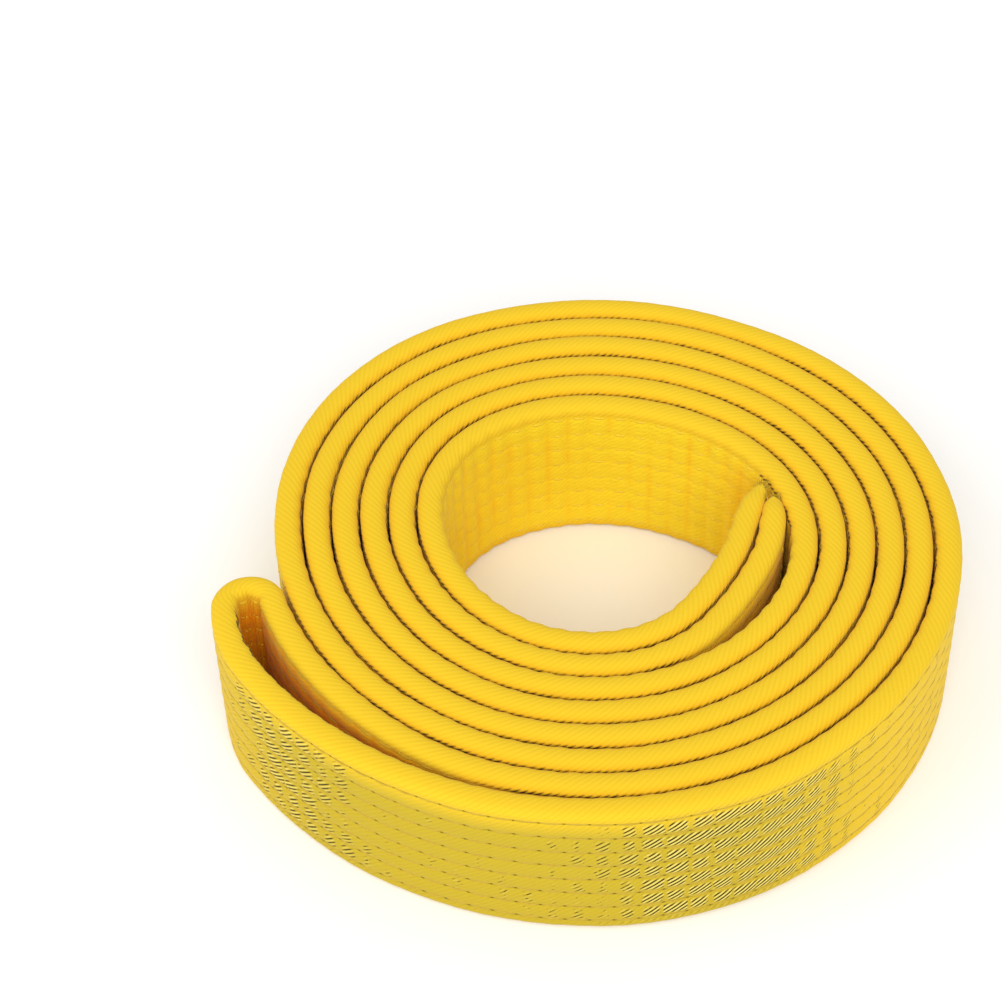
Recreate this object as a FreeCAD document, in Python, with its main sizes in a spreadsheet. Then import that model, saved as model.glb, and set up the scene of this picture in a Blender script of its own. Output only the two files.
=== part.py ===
# Martial arts belt: a long flat stitched belt, folded in half and rolled up standing on its edge.
#
# The belt is one strip. Seen from above, the two halves of the strip lie side by side as a pair and
# wind inwards anticlockwise from the fold, which stands a little proud of the roll as a narrow loop,
# to the two free ends beside the open centre. A sleeve of woven cotton holds four core plies, and
# rows of lockstitch run the whole length: a needle thread on the belt's outer face and a bobbin
# thread on its inner face. The roll's axis is +Z and the belt stands on z = 0. Millimetres.

import FreeCAD, Part
import math
import os
from collections import namedtuple

import Sketcher

DIMENSIONS = [
    # alias, value, what it is
    ("belt_width", 40.0, "height of the roll, the belt's width"),
    ("belt_thickness", 5.5, "sleeve and core together"),
    ("edge_radius", 2.0, "rounding of the sleeve along the belt's edges"),
    ("layer_pitch", 6.25, "from one layer of the roll to the next"),
    ("sleeve_wall", 0.9, "thickness of the woven sleeve"),
    ("cavity_corner", 1.1, "rounding inside the sleeve"),
    ("ply_count", 4.0, "core plies"),
    ("ply_thickness", 0.88, "one core ply"),
    ("ply_width", 35.8, "width of a core ply"),
    ("end_closure", 10.0, "closed end of the sleeve, beyond the core"),
    ("ply_end_gap", 0.3, "from a ply's end to the end of the sleeve's hollow"),
    ("row_count", 8.0, "rows of stitching along the belt"),
    ("row_pitch", 4.8, "from one row to the next"),
    ("row_end", 12.0, "from the belt's end to the rows"),
    ("thread_width", 0.7, "width of a thread where it lies on the face"),
    ("thread_height", 0.3, "how far a thread stands off the face"),
    ("seam_setback", 6.0, "from the belt's end to the cross seam"),
    ("seam_length", 33.0, "length of the cross seam"),
    ("arc_step", 30.0, "degrees turned by each arc of the roll"),
    ("start_radius", 76.9, "bend radius where the roll begins"),
    ("oval_amount", 5.5, "bend radius added twice a turn"),
    ("oval_angle", 71.5, "degrees, where the oval is flattest"),
    ("lobe_amount", 6.8, "bend radius added three times a turn"),
    ("lobe_angle", 77.0, "degrees, where a lobe is flattest"),
    ("fold_radius", 5.3, "bend radius of the fold, at mid thickness"),
    ("fold_start", 200.0, "degrees, where the inner half leaves the fold"),
    ("fold_end", 184.5, "degrees, where the outer half leaves the fold"),
    ("loop_angle", 215.5, "degrees, where the loop's tight side ends"),
    ("join_angle", 270.0, "degrees, where the loop joins the roll"),
    ("curl_start", 1361.0, "degrees turned where the ends curl inwards"),
    ("curl_end", 1402.0, "degrees turned where the ends run straighter"),
    ("curl_radius", 27.0, "bend radius of the curl, between the halves"),
    ("tail_radius", 75.5, "bend radius of the straighter tail"),
    ("tip_start", 1418.0, "degrees turned where the tips bend in along the next layer"),
    ("tip_radius", 30.0, "bend radius of the tips, between the halves"),
    ("outer_tip_end", 1438.0, "degrees turned at the outer half's end"),
    ("inner_tip_end", 1452.0, "degrees turned at the inner half's end"),
]

# One arc of a path: its centre, its radius, and the directions from the centre in which it starts
# and stops. The path turns left along it if stop is greater than start, and right if it is less.
Bend = namedtuple("Bend", "centre radius start stop")

doc = FreeCAD.newDocument("martial_arts_belt")


# ---- driving dimensions ----

def make_sheet():
    sheet = doc.addObject("Spreadsheet::Sheet", "Dimensions")
    for row, (alias, value, meaning) in enumerate(DIMENSIONS, start=1):
        sheet.set(f"A{row}", meaning)
        sheet.set(f"B{row}", str(value))
        sheet.setAlias(f"B{row}", alias)
    doc.recompute()
    return sheet


def size(alias):
    return float(sheet.get(alias))


# ---- the path that the belt follows, seen from above ----

def direction(degrees):
    angle = math.radians(degrees)
    return FreeCAD.Vector(math.cos(angle), math.sin(angle), 0)


def roll_radius(turned):
    """Bend radius of the line between the two halves after turning that many degrees from +X."""
    tightening = 2 * size("layer_pitch") * (turned - 180) / 360
    oval = size("oval_amount") * math.cos(math.radians(2 * (turned - size("oval_angle"))))
    lobes = size("lobe_amount") * math.cos(math.radians(3 * (turned - size("lobe_angle"))))
    return size("start_radius") - tightening + oval + lobes


def next_bend(bend, radius, stop):
    """The bend that carries on smoothly from the end of another."""
    centre = bend.centre + direction(bend.stop) * (bend.radius - radius)
    return Bend(centre, radius, bend.stop, stop)


def middle_line():
    """The line between the belt's two halves, as tangent arcs from the outside to the centre."""
    step = size("arc_step")
    line = [Bend(FreeCAD.Vector(), roll_radius(180 + step / 2), 180, 180 + step)]
    while line[-1].stop < size("curl_start"):
        turned = line[-1].stop
        line.append(next_bend(line[-1], roll_radius(turned + step / 2), turned + step))
    line[-1] = line[-1]._replace(stop=size("curl_start"))
    line.append(next_bend(line[-1], size("curl_radius"), size("curl_end")))
    line.append(next_bend(line[-1], size("tail_radius"), size("tip_start")))
    line.append(next_bend(line[-1], size("tip_radius"), size("outer_tip_end")))
    return line


def beside(line, offset):
    return [bend._replace(radius=bend.radius + offset) for bend in line]


def at(bend, degrees):
    return bend.centre + direction(degrees) * bend.radius


def loop(inner_half, outer_half):
    """The fold and the loop that stands off the roll: three arcs that join the two halves.

    The fold's own radius is given. The radii of the other two arcs are the ones that close the gap.
    """
    fold_start = size("fold_start") - 180
    fold_end = size("fold_end")
    loop_angle = size("loop_angle")
    join_angle = size("join_angle")
    begin = at(inner_half, size("fold_start"))
    fold = Bend(begin - direction(fold_start) * size("fold_radius"), size("fold_radius"), fold_start, fold_end)
    gap = at(outer_half, join_angle) - at(fold, fold_end)
    tight = direction(loop_angle) - direction(fold_end)
    wide = direction(join_angle) - direction(loop_angle)
    determinant = tight.x * wide.y - tight.y * wide.x
    tight_radius = (gap.x * wide.y - gap.y * wide.x) / determinant
    tight_bend = next_bend(fold, tight_radius, loop_angle)
    wide_radius = (tight.x * gap.y - tight.y * gap.x) / determinant
    return [fold, tight_bend, next_bend(tight_bend, wide_radius, join_angle)]


def belt_path():
    """Mid thickness of the belt, from the inner half's end, out to the fold and back to the centre."""
    line = middle_line()
    half_pitch = size("layer_pitch") / 2
    outer_half = [bend for bend in beside(line, half_pitch) if bend.start >= size("join_angle")]
    inner_half = beside(line, -half_pitch)
    inner_half[0] = inner_half[0]._replace(start=size("fold_start"))
    inner_half[-1] = inner_half[-1]._replace(stop=size("inner_tip_end"))
    path = reverse(inner_half) + loop(inner_half[0], outer_half[0]) + outer_half
    middle = wire(path).BoundBox.Center
    return [bend._replace(centre=bend.centre - middle) for bend in path]


def reverse(path):
    return [bend._replace(start=bend.stop, stop=bend.start) for bend in reversed(path)]


def without_start(path, length):
    """The path from that length along it onwards."""
    first = path[0]
    whole = math.radians(abs(first.stop - first.start)) * first.radius
    if whole <= length:
        return without_start(path[1:], length - whole)
    start = first.start + (first.stop - first.start) * length / whole
    return [first._replace(start=start)] + path[1:]


def shortened(path, length):
    """The same path with that length taken off both of its ends."""
    return reverse(without_start(reverse(without_start(path, length)), length))


def wire(path):
    arcs = []
    for bend in path:
        half_way = (bend.start + bend.stop) / 2
        points = [at(bend, degrees) for degrees in (bend.start, half_way, bend.stop)]
        arcs.append(Part.Arc(*points).toShape())
    return Part.Wire(arcs)


def right_hand_side(bend, degrees):
    """Unit vector to the right of the direction of travel, which is the belt's outer face."""
    return direction(degrees) if bend.stop > bend.start else -direction(degrees)


def across_placement(point, outward):
    """Local X points out of the belt's outer face and local Y points up its width."""
    up = FreeCAD.Vector(0, 0, 1)
    return FreeCAD.Placement(point, FreeCAD.Rotation(outward, up, outward.cross(up), "XYZ"))


# ---- sketches of the cross sections, and the sweeps made from them ----

def add_spine(name, path):
    spine = doc.addObject("Part::Feature", name)
    spine.Shape = wire(path)
    return spine


def add_section(name, path, middle_out, middle_up, across, tall, corner=None):
    """A rectangle, with rounded corners if asked for, square across the start of a path.

    Each measure is an expression on the sheet: the rectangle's middle, out from mid thickness and
    up from the belt's lower edge, its size across the thickness and up the width, and its corners.
    """
    sketch = doc.addObject("Sketcher::SketchObject", name)
    start = path[0]
    sketch.Placement = across_placement(at(start, start.start), right_hand_side(start, start.start))
    rounding = 0.2 if corner else 0.0
    right, top = 1.0, 2.0
    flat, tall_flat = right - rounding, top - rounding
    corners = [(flat, tall_flat), (-flat, tall_flat), (-flat, -tall_flat), (flat, -tall_flat)]
    sides = [
        ((right, -tall_flat), (right, tall_flat)),
        ((flat, top), (-flat, top)),
        ((-right, tall_flat), (-right, -tall_flat)),
        ((-flat, -top), (flat, -top)),
    ]
    for begin, end in sides:
        sketch.addGeometry(Part.LineSegment(FreeCAD.Vector(*begin), FreeCAD.Vector(*end)))
    for side, kind in enumerate(["Vertical", "Horizontal", "Vertical", "Horizontal"]):
        sketch.addConstraint(Sketcher.Constraint(kind, side))
    if corner:
        for side, (x, y) in enumerate(corners):
            circle = Part.Circle(FreeCAD.Vector(x, y), FreeCAD.Vector(0, 0, 1), rounding)
            quarter = side * math.pi / 2
            sketch.addGeometry(Part.ArcOfCircle(circle, quarter, quarter + math.pi / 2))
        for side in range(4):
            arc = 4 + side
            sketch.addConstraint(Sketcher.Constraint("Tangent", side, 2, arc, 1))
            sketch.addConstraint(Sketcher.Constraint("Tangent", arc, 2, (side + 1) % 4, 1))
        for arc in (5, 6, 7):
            sketch.addConstraint(Sketcher.Constraint("Equal", 4, arc))
        drive(sketch, Sketcher.Constraint("Radius", 4, rounding), corner)
    else:
        for side in range(4):
            sketch.addConstraint(Sketcher.Constraint("Coincident", side, 2, (side + 1) % 4, 1))
    # distances from the sketch's origin (geometry -1, point 1) to the four sides
    drive(sketch, Sketcher.Constraint("DistanceX", 2, 1, 0, 1, 2 * right), across)
    drive(sketch, Sketcher.Constraint("DistanceY", 3, 1, 1, 1, 2 * top), tall)
    drive(sketch, Sketcher.Constraint("DistanceX", -1, 1, 0, 1, right), f"{middle_out} + ({across}) / 2")
    drive(sketch, Sketcher.Constraint("DistanceY", -1, 1, 1, 1, top), f"{middle_up} + ({tall}) / 2")
    return sketch


def drive(sketch, constraint, expression):
    index = sketch.addConstraint(constraint)
    sketch.setExpression(f"Constraints[{index}]", expression)


def add_sweep(name, spine, section):
    sweep = doc.addObject("Part::Sweep", name)
    sweep.Sections = [section]
    sweep.Spine = (spine, [])
    sweep.Solid = True
    sweep.Frenet = True
    return sweep


def add_strip(name, path, spine, middle_out, middle_up, across, tall, corner=None):
    """A strip of the given section that follows the belt's path."""
    section = add_section(f"{name}_section", path, middle_out, middle_up, across, tall, corner)
    return add_sweep(name, spine, section)


# ---- the belt's pieces ----

def add_sleeve(path, inner_path):
    """The woven sleeve: hollow for the core plies and closed at both ends."""
    spine = add_spine("sleeve_spine", path)
    outside = add_strip(
        "sleeve_outside", path, spine, "0", "Dimensions.belt_width / 2",
        "Dimensions.belt_thickness", "Dimensions.belt_width", "Dimensions.edge_radius",
    )
    inner_spine = add_spine("hollow_spine", inner_path)
    hollow = add_strip(
        "sleeve_hollow", inner_path, inner_spine, "0", "Dimensions.belt_width / 2",
        "Dimensions.belt_thickness - 2 * Dimensions.sleeve_wall",
        "Dimensions.belt_width - 2 * Dimensions.sleeve_wall", "Dimensions.cavity_corner",
    )
    doc.recompute()
    shells = [outside.Shape.Shells[0], hollow.Shape.Shells[0].reversed()]
    sleeve = doc.addObject("Part::Feature", "outer_sleeve")
    sleeve.Shape = Part.makeSolid(Part.Compound(shells))
    return sleeve


def add_core_plies(path):
    """Felt plies stacked through the thickness, numbered from the inner face outwards."""
    spine = add_spine("ply_spine", path)
    spacing = "(Dimensions.belt_thickness - 2 * Dimensions.sleeve_wall) / Dimensions.ply_count"
    plies = []
    for index in range(int(size("ply_count"))):
        middle_out = f"({index} + 0.5 - Dimensions.ply_count / 2) * {spacing}"
        plies.append(add_strip(
            f"core_ply_{index + 1}", path, spine, middle_out, "Dimensions.belt_width / 2",
            "Dimensions.ply_thickness", "Dimensions.ply_width",
        ))
    return plies


def add_row_threads(path):
    """One needle thread and one bobbin thread for each row, numbered from the lower edge."""
    spine = add_spine("stitch_spine", path)
    off_middle = "(Dimensions.belt_thickness + Dimensions.thread_height) / 2"
    threads = []
    for row in range(int(size("row_count"))):
        height = f"Dimensions.belt_width / 2 + ({row} + 0.5 - Dimensions.row_count / 2) * Dimensions.row_pitch"
        for kind, side in (("needle", ""), ("bobbin", "-")):
            threads.append(add_strip(
                f"{kind}_thread_row_{row + 1}", path, spine, side + off_middle, height,
                "Dimensions.thread_height", "Dimensions.thread_width",
            ))
    return threads


def add_cross_seam(name, bend, degrees, outer_face):
    """The thread of the seam across one end, on one face of the belt."""
    outward = right_hand_side(bend, degrees)
    off_middle = size("belt_thickness") / 2 if outer_face else -size("belt_thickness") / 2 - size("thread_height")
    seam = doc.addObject("Part::Box", name)
    seam.setExpression("Length", "Dimensions.thread_height")
    seam.setExpression("Width", "Dimensions.seam_length")
    seam.setExpression("Height", "Dimensions.thread_width")
    corner = at(bend, degrees) + outward * off_middle
    placement = across_placement(corner, outward)
    lift = (size("belt_width") - size("seam_length")) / 2
    shift = FreeCAD.Placement(FreeCAD.Vector(0, lift, -size("thread_width") / 2), FreeCAD.Rotation())
    seam.Placement = placement.multiply(shift)
    return seam


def add_cross_seams(path):
    first, last = path[0], path[-1]
    seams = []
    for end, bend, degrees in (("inner_end", first, first.start), ("outer_end", last, last.stop)):
        seams.append(add_cross_seam(f"{end}_seam_needle_thread", bend, degrees, True))
        seams.append(add_cross_seam(f"{end}_seam_bobbin_thread", bend, degrees, False))
    return seams


# ---- checks and export ----

def check(pieces):
    for item in doc.Objects:
        if "Invalid" in item.State or "Error" in item.State:
            raise RuntimeError(f"{item.Name} failed: {item.State}")
    for piece in pieces:
        shape = piece.Shape
        if shape.isNull() or not shape.isValid():
            raise RuntimeError(f"{piece.Name} has no valid shape")
        if len(shape.Solids) != 1:
            raise RuntimeError(f"{piece.Name} has {len(shape.Solids)} solids")


def export(pieces):
    os.makedirs("parts", exist_ok=True)
    for piece in pieces:
        piece.Label = piece.Name
        piece.Shape.exportStep(f"parts/{piece.Label}.step")


sheet = make_sheet()
belt = belt_path()
hollow_path = shortened(belt, size("end_closure"))
ply_path = shortened(belt, size("end_closure") + size("ply_end_gap"))
pieces = [add_sleeve(belt, hollow_path)]
pieces += add_core_plies(ply_path)
pieces += add_row_threads(shortened(belt, size("row_end")))
pieces += add_cross_seams(shortened(belt, size("seam_setback")))
doc.recompute()
check(pieces)
export(pieces)

print("belt length", round(wire(belt).Length, 1), "mm in", len(belt), "arcs")
for piece in pieces:
    print(piece.Label, round(piece.Shape.Volume, 1), "mm3")
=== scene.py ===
# Looks of the martial arts belt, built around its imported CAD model. Metres, in the CAD's frame.
#
# The belt's cover is one detailed strap that follows the same path as the CAD: in plan, a line of
# tangent arcs. Each run of stitches is its own piece. The felt plies inside stay as the CAD made them.
import math
from collections import namedtuple

import bpy
import numpy as np
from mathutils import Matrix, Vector


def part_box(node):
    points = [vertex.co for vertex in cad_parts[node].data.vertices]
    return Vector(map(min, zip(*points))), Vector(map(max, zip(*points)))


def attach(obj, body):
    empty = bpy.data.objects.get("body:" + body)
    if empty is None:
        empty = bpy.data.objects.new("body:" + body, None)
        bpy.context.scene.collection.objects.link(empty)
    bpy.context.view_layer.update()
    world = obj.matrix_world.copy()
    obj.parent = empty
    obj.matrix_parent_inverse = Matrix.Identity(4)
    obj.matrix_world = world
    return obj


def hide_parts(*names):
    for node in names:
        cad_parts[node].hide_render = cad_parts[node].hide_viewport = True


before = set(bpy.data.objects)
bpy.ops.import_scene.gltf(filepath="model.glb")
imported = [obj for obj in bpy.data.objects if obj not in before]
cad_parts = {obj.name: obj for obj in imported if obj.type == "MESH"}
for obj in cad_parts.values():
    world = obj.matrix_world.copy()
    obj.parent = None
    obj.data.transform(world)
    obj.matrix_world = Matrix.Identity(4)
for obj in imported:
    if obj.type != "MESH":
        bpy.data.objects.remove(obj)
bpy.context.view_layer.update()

MM = 0.001
sleeve_low, sleeve_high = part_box("outer_sleeve")
BELT_WIDTH = sleeve_high.z - sleeve_low.z
SLEEVE_MIDDLE = np.array([sleeve_low.x + sleeve_high.x, sleeve_low.y + sleeve_high.y]) / 2

# the line between the belt's two halves, and the loop outside it, as in the CAD
LAYER_PITCH = 6.25 * MM
START_RADIUS = 76.9 * MM
OVAL_AMOUNT, OVAL_ANGLE = 5.5 * MM, 71.5
LOBE_AMOUNT, LOBE_ANGLE = 6.8 * MM, 77.0
ARC_STEP = 30.0
FOLD_RADIUS = 5.3 * MM
FOLD_START, FOLD_END = 200.0, 184.5
LOOP_ANGLE, JOIN_ANGLE = 215.5, 270.0
CURL_START, CURL_END, CURL_RADIUS = 1361.0, 1402.0, 27.0 * MM
TIP_START, TAIL_RADIUS, TIP_RADIUS = 1418.0, 75.5 * MM, 30.0 * MM
OUTER_TIP_END, INNER_TIP_END = 1438.0, 1452.0
PATH_SAMPLES = 24001

# the strap's cross section
FACE_HALF = 2.62 * MM  # half the thickness in the valleys along the stitch rows
BULGE = 0.34 * MM  # how far the channels between the rows stand out from the valleys
BULGE_SQUEEZED = 0.45  # the share of it that is left where the cloth is squeezed
CHANNEL_POWER = 0.62  # below 1 the channels are plump
EDGE_CHANNEL = 1.5 * MM  # how far outside the outermost rows the cloth is full again
EDGE_HEIGHT = 2.2 * MM  # height of the rounded edge
EDGE_POWER = 2.45
EDGE_POINTS = 13
ROW_COUNT = 8
ROW_PITCH = 4.8 * MM
STITCH = 5.0 * MM  # length of one stitch
CHANNEL_POINTS = (0.0, 0.09, 0.25, 0.5, 0.75, 0.91)
ROW_HEIGHTS = [BELT_WIDTH / 2 + (row + 0.5 - ROW_COUNT / 2) * ROW_PITCH for row in range(ROW_COUNT)]

# the spacing of the strap's rings, and where it is fine
FINE_STEP, COARSE_STEP = 1.0 * MM, 2.0 * MM
FOLD_STEP, TIP_STEP = 0.35 * MM, 0.2 * MM
FINE_AT_INNER_END, FINE_AT_OUTER_END = 330 * MM, 120 * MM
FINE_BEFORE_FOLD, FINE_AFTER_FOLD = 110 * MM, 560 * MM
FINEST_AT_FOLD = 14 * MM

Bend = namedtuple("Bend", "centre radius start stop")


# ---- the path, seen from above ----

def direction(degrees):
    angle = np.radians(degrees)
    return np.stack([np.cos(angle), np.sin(angle)], axis=-1)


def roll_radius(turned):
    tightening = 2 * LAYER_PITCH * (turned - 180) / 360
    oval = OVAL_AMOUNT * math.cos(math.radians(2 * (turned - OVAL_ANGLE)))
    lobes = LOBE_AMOUNT * math.cos(math.radians(3 * (turned - LOBE_ANGLE)))
    return START_RADIUS - tightening + oval + lobes


def next_bend(bend, radius, stop):
    centre = bend.centre + direction(bend.stop) * (bend.radius - radius)
    return Bend(centre, radius, bend.stop, stop)


def middle_line():
    line = [Bend(np.zeros(2), roll_radius(180 + ARC_STEP / 2), 180.0, 180 + ARC_STEP)]
    while line[-1].stop < CURL_START:
        turned = line[-1].stop
        line.append(next_bend(line[-1], roll_radius(turned + ARC_STEP / 2), turned + ARC_STEP))
    line[-1] = line[-1]._replace(stop=CURL_START)
    line.append(next_bend(line[-1], CURL_RADIUS, CURL_END))
    line.append(next_bend(line[-1], TAIL_RADIUS, TIP_START))
    line.append(next_bend(line[-1], TIP_RADIUS, OUTER_TIP_END))
    return line


def beside(line, offset):
    return [bend._replace(radius=bend.radius + offset) for bend in line]


def at(bend, degrees):
    return bend.centre + direction(degrees) * bend.radius


def loop(inner_half, outer_half):
    """The fold of a given radius, and the two arcs that close the gap between it and the roll."""
    fold_start = FOLD_START - 180
    begin = at(inner_half, FOLD_START)
    fold = Bend(begin - direction(fold_start) * FOLD_RADIUS, FOLD_RADIUS, fold_start, FOLD_END)
    gap = at(outer_half, JOIN_ANGLE) - at(fold, FOLD_END)
    tight = direction(LOOP_ANGLE) - direction(FOLD_END)
    wide = direction(JOIN_ANGLE) - direction(LOOP_ANGLE)
    tight_radius, wide_radius = np.linalg.solve(np.stack([tight, wide], axis=1), gap)
    tight_bend = next_bend(fold, tight_radius, LOOP_ANGLE)
    return [fold, tight_bend, next_bend(tight_bend, wide_radius, JOIN_ANGLE)]


def bend_length(bend):
    return abs(math.radians(bend.stop - bend.start)) * bend.radius


def belt_path():
    """Mid thickness of the belt, from the inner half's end, out to the fold and back to the centre."""
    line = middle_line()
    outer_half = [bend for bend in beside(line, LAYER_PITCH / 2) if bend.start >= JOIN_ANGLE]
    inner_half = beside(line, -LAYER_PITCH / 2)
    inner_half[0] = inner_half[0]._replace(start=FOLD_START)
    inner_half[-1] = inner_half[-1]._replace(stop=INNER_TIP_END)
    towards_fold = [bend._replace(start=bend.stop, stop=bend.start) for bend in reversed(inner_half)]
    return towards_fold + loop(inner_half[0], outer_half[0]) + outer_half, len(towards_fold)


path, fold_bend = belt_path()
lengths = np.array([bend_length(bend) for bend in path])
bend_ends = np.cumsum(lengths)
bend_starts = bend_ends - lengths
BELT_LENGTH = bend_ends[-1]
FOLD_AT = bend_starts[fold_bend] + lengths[fold_bend] / 2
path_centres = np.array([bend.centre for bend in path])
path_radii = np.array([bend.radius for bend in path])
path_from = np.array([bend.start for bend in path])
path_to = np.array([bend.stop for bend in path])
path_turns = np.where(path_to > path_from, 1.0, -1.0)


def along(distance):
    """Points at those distances along the belt: place, outward normal and signed curvature.

    Outward is to the right of the direction of travel, the belt's needle face. The curvature is
    positive where the path turns left. Past either end the last arc carries on.
    """
    distance = np.asarray(distance, float)
    index = np.clip(np.searchsorted(bend_ends, distance, side="left"), 0, len(path) - 1)
    share = (distance - bend_starts[index]) / lengths[index]
    angle = path_from[index] + (path_to[index] - path_from[index]) * share
    radial = direction(angle)
    place = path_centres[index] + radial * path_radii[index][..., None]
    turns = path_turns[index]
    return place, radial * turns[..., None], turns / path_radii[index]


samples, _, _ = along(np.linspace(0, BELT_LENGTH, PATH_SAMPLES))
path_shift = SLEEVE_MIDDLE - (samples.min(axis=0) + samples.max(axis=0)) / 2


# ---- small irregularities, the same on every run ----

rng = np.random.default_rng(240)
SHORTEST_WAVE, LONGEST_WAVE = 0.6, 1.7  # as shares of the wavelength asked for


def smooth_noise(distance, wavelength, waves=9):
    """A slow random curve between about -1 and 1."""
    total = np.zeros_like(distance)
    for _ in range(waves):
        period = wavelength * rng.uniform(SHORTEST_WAVE, LONGEST_WAVE)
        total = total + np.sin(2 * np.pi * (distance / period + rng.uniform()))
    return total / math.sqrt(waves)


def smooth_step(value, low, high):
    share = np.clip((value - low) / (high - low), 0, 1)
    return share * share * (3 - 2 * share)


# ---- the strap ----

TIP_TAPER = 6.0 * MM
TIP_THICKNESS = 0.70
TIP_ROUNDING = 1.2 * MM
TIP_LEAST = 0.02  # keeps the very end from shrinking to a line
TIP_NARROWING, TIP_NARROWING_LENGTH = 0.03, 4 * MM
INNER_TIP_EXTRA = 1.0 * MM  # the woven tips run a little past the CAD's flat ends
OUTER_TIP_EXTRA = 5.0 * MM
INNER_TIP_LEAN, OUTER_TIP_LEAN = 5.4 * MM, 0.7 * MM  # both tips lean towards the next turn of the roll
TIP_LEAN_LENGTH = 16.0 * MM
FOLD_PINCH, FOLD_REACH = 0.22, 8.0 * MM  # the outside of the fold is pulled flat on the core
FOLD_WRINKLE, FOLD_WRINKLE_STEP = 0.20 * MM, 1.7 * MM
WRINKLE_SWAYS = ((1.3, 3.1 * MM), (0.8, 1.3 * MM))  # how far and how fast the wrinkles bend, going up
STRETCH_LIMIT = 10.0  # curvature, one over metres, beyond which a face counts as fully stretched
PUCKER_LIMIT = 0.34 * MM
PUCKER_BY_CURVATURE = 11.0 * MM * MM
PUCKER_STRETCHED = 0.07 * MM
PUCKER_AT_EDGE = 0.55  # the share of the puckers that is left at the belt's rounded edges
PUCKER_FULL = 5.0 * MM  # how far from the edges they are whole
PUCKER_ROUND_EDGE = 1.2  # how soon they are whole on the way round an edge

# the sizes of the irregularities, each with the length of its waves along the belt
WANDER, WANDER_WAVE = 0.05 * MM, 34 * MM  # of the strap, sideways
LIFT, LIFT_WAVE = 0.0035, 75 * MM  # of the upper edge, as a share of its height
SWELL, SWELL_WAVE = 0.012, 21 * MM  # of the thickness, as a share
ROW_SWELL_MEAN, ROW_SWELL, ROW_SWELL_WAVE = 0.8, 0.25, 11 * MM  # of the puckers in one channel
ROW_WANDER, ROW_WANDER_WAVE = 0.16 * MM, 48 * MM  # of a stitch row, up and down


def stations():
    """Distances along the belt at which the strap has a ring: close together where it is seen."""
    strap_end = BELT_LENGTH + OUTER_TIP_EXTRA
    seen = [
        (-INNER_TIP_EXTRA, FINE_AT_INNER_END),
        (FOLD_AT - FINE_BEFORE_FOLD, FOLD_AT + FINE_AFTER_FOLD),
        (BELT_LENGTH - FINE_AT_OUTER_END, strap_end),
    ]
    distance = -INNER_TIP_EXTRA
    found = []
    while distance < strap_end:
        found.append(distance)
        end_gap = min(distance + INNER_TIP_EXTRA, strap_end - distance)
        fine = any(low <= distance < high for low, high in seen)
        step = FINE_STEP if fine else COARSE_STEP
        if abs(distance - FOLD_AT) < FINEST_AT_FOLD:
            step = FOLD_STEP
        if end_gap < 1.5 * TIP_ROUNDING:
            step = TIP_STEP
        distance += step
    found.append(strap_end)
    return np.array(found)


def section():
    """The ring of points round the strap: side (+1 needle face), share across, height."""
    quarter = np.linspace(0, np.pi / 2, EDGE_POINTS // 2 + 1)
    across = np.cos(quarter) ** (2 / EDGE_POWER)
    above = 1 - np.sin(quarter) ** (2 / EDGE_POWER)
    edge = [(x, EDGE_HEIGHT * up) for x, up in zip(across, above)]
    # one side, from the middle of the lower edge up to the middle of the upper one
    half = edge[::-1]
    for gap in range(ROW_COUNT - 1):
        for share in CHANNEL_POINTS:
            half.append((1.0, ROW_HEIGHTS[gap] + share * ROW_PITCH))
    half.append((1.0, ROW_HEIGHTS[-1]))
    half += [(x, BELT_WIDTH - z) for x, z in edge]
    half = np.array(half)
    needle = np.column_stack([np.ones(len(half)), half])
    bobbin = np.column_stack([-np.ones(len(half)), half])[::-1]
    return np.concatenate([needle, bobbin[1:-1]])


def channel(height):
    """0 in the valleys along the stitch rows and 1 in the middle of the channels between them."""
    turn = (height - ROW_HEIGHTS[0]) / ROW_PITCH
    between = np.abs(np.sin(np.pi * turn)) ** CHANNEL_POWER
    from_rows = np.minimum(np.abs(height - ROW_HEIGHTS[0]), np.abs(height - ROW_HEIGHTS[-1]))
    edge = np.sin(np.pi / 2 * np.clip(from_rows / EDGE_CHANNEL, 0, 1))
    outside = (height < ROW_HEIGHTS[0]) | (height > ROW_HEIGHTS[-1])
    return np.where(outside, edge, between)


def pucker(distance, side):
    """How far the cloth stands out between two needle holes, and how far it sinks at them."""
    _, _, curvature = along(distance)
    pressed = np.maximum(0, -side * curvature)
    size = np.minimum(PUCKER_LIMIT, PUCKER_BY_CURVATURE * pressed + PUCKER_STRETCHED)
    return size * -np.cos(2 * np.pi * distance / STITCH)


def wrinkles(distance, height):
    """Small folds of the cloth squeezed on the inside of the fold, where the belt turns back."""
    near_fold = np.exp(-(((distance - FOLD_AT) / FOLD_REACH) ** 4))
    sway = sum(amount * np.sin(height[None] / length) for amount, length in WRINKLE_SWAYS)
    waves = np.sin(2 * np.pi * distance[:, None] / FOLD_WRINKLE_STEP + sway)
    return FOLD_WRINKLE * near_fold[:, None] * waves


def fold_pinch(distance):
    """By how much of its thickness the needle face is pulled in at the fold."""
    return np.exp(-(((distance - FOLD_AT) / FOLD_REACH) ** 2)) * FOLD_PINCH


distance = stations()
ring = section()
side, half_across, height = ring[:, 0], ring[:, 1], ring[:, 2]
edge_distance = np.minimum(height, BELT_WIDTH - height)
place, outward, curvature = along(distance)

from_inner_tip = distance + INNER_TIP_EXTRA
from_outer_tip = BELT_LENGTH + OUTER_TIP_EXTRA - distance
from_end = np.minimum(from_inner_tip, from_outer_tip)
taper = TIP_THICKNESS + (1 - TIP_THICKNESS) * smooth_step(from_end, 0, TIP_TAPER)
rounding = np.sqrt(1 - (1 - np.clip(from_end / TIP_ROUNDING, TIP_LEAST, 1)) ** 2)
thickness = taper * rounding

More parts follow.
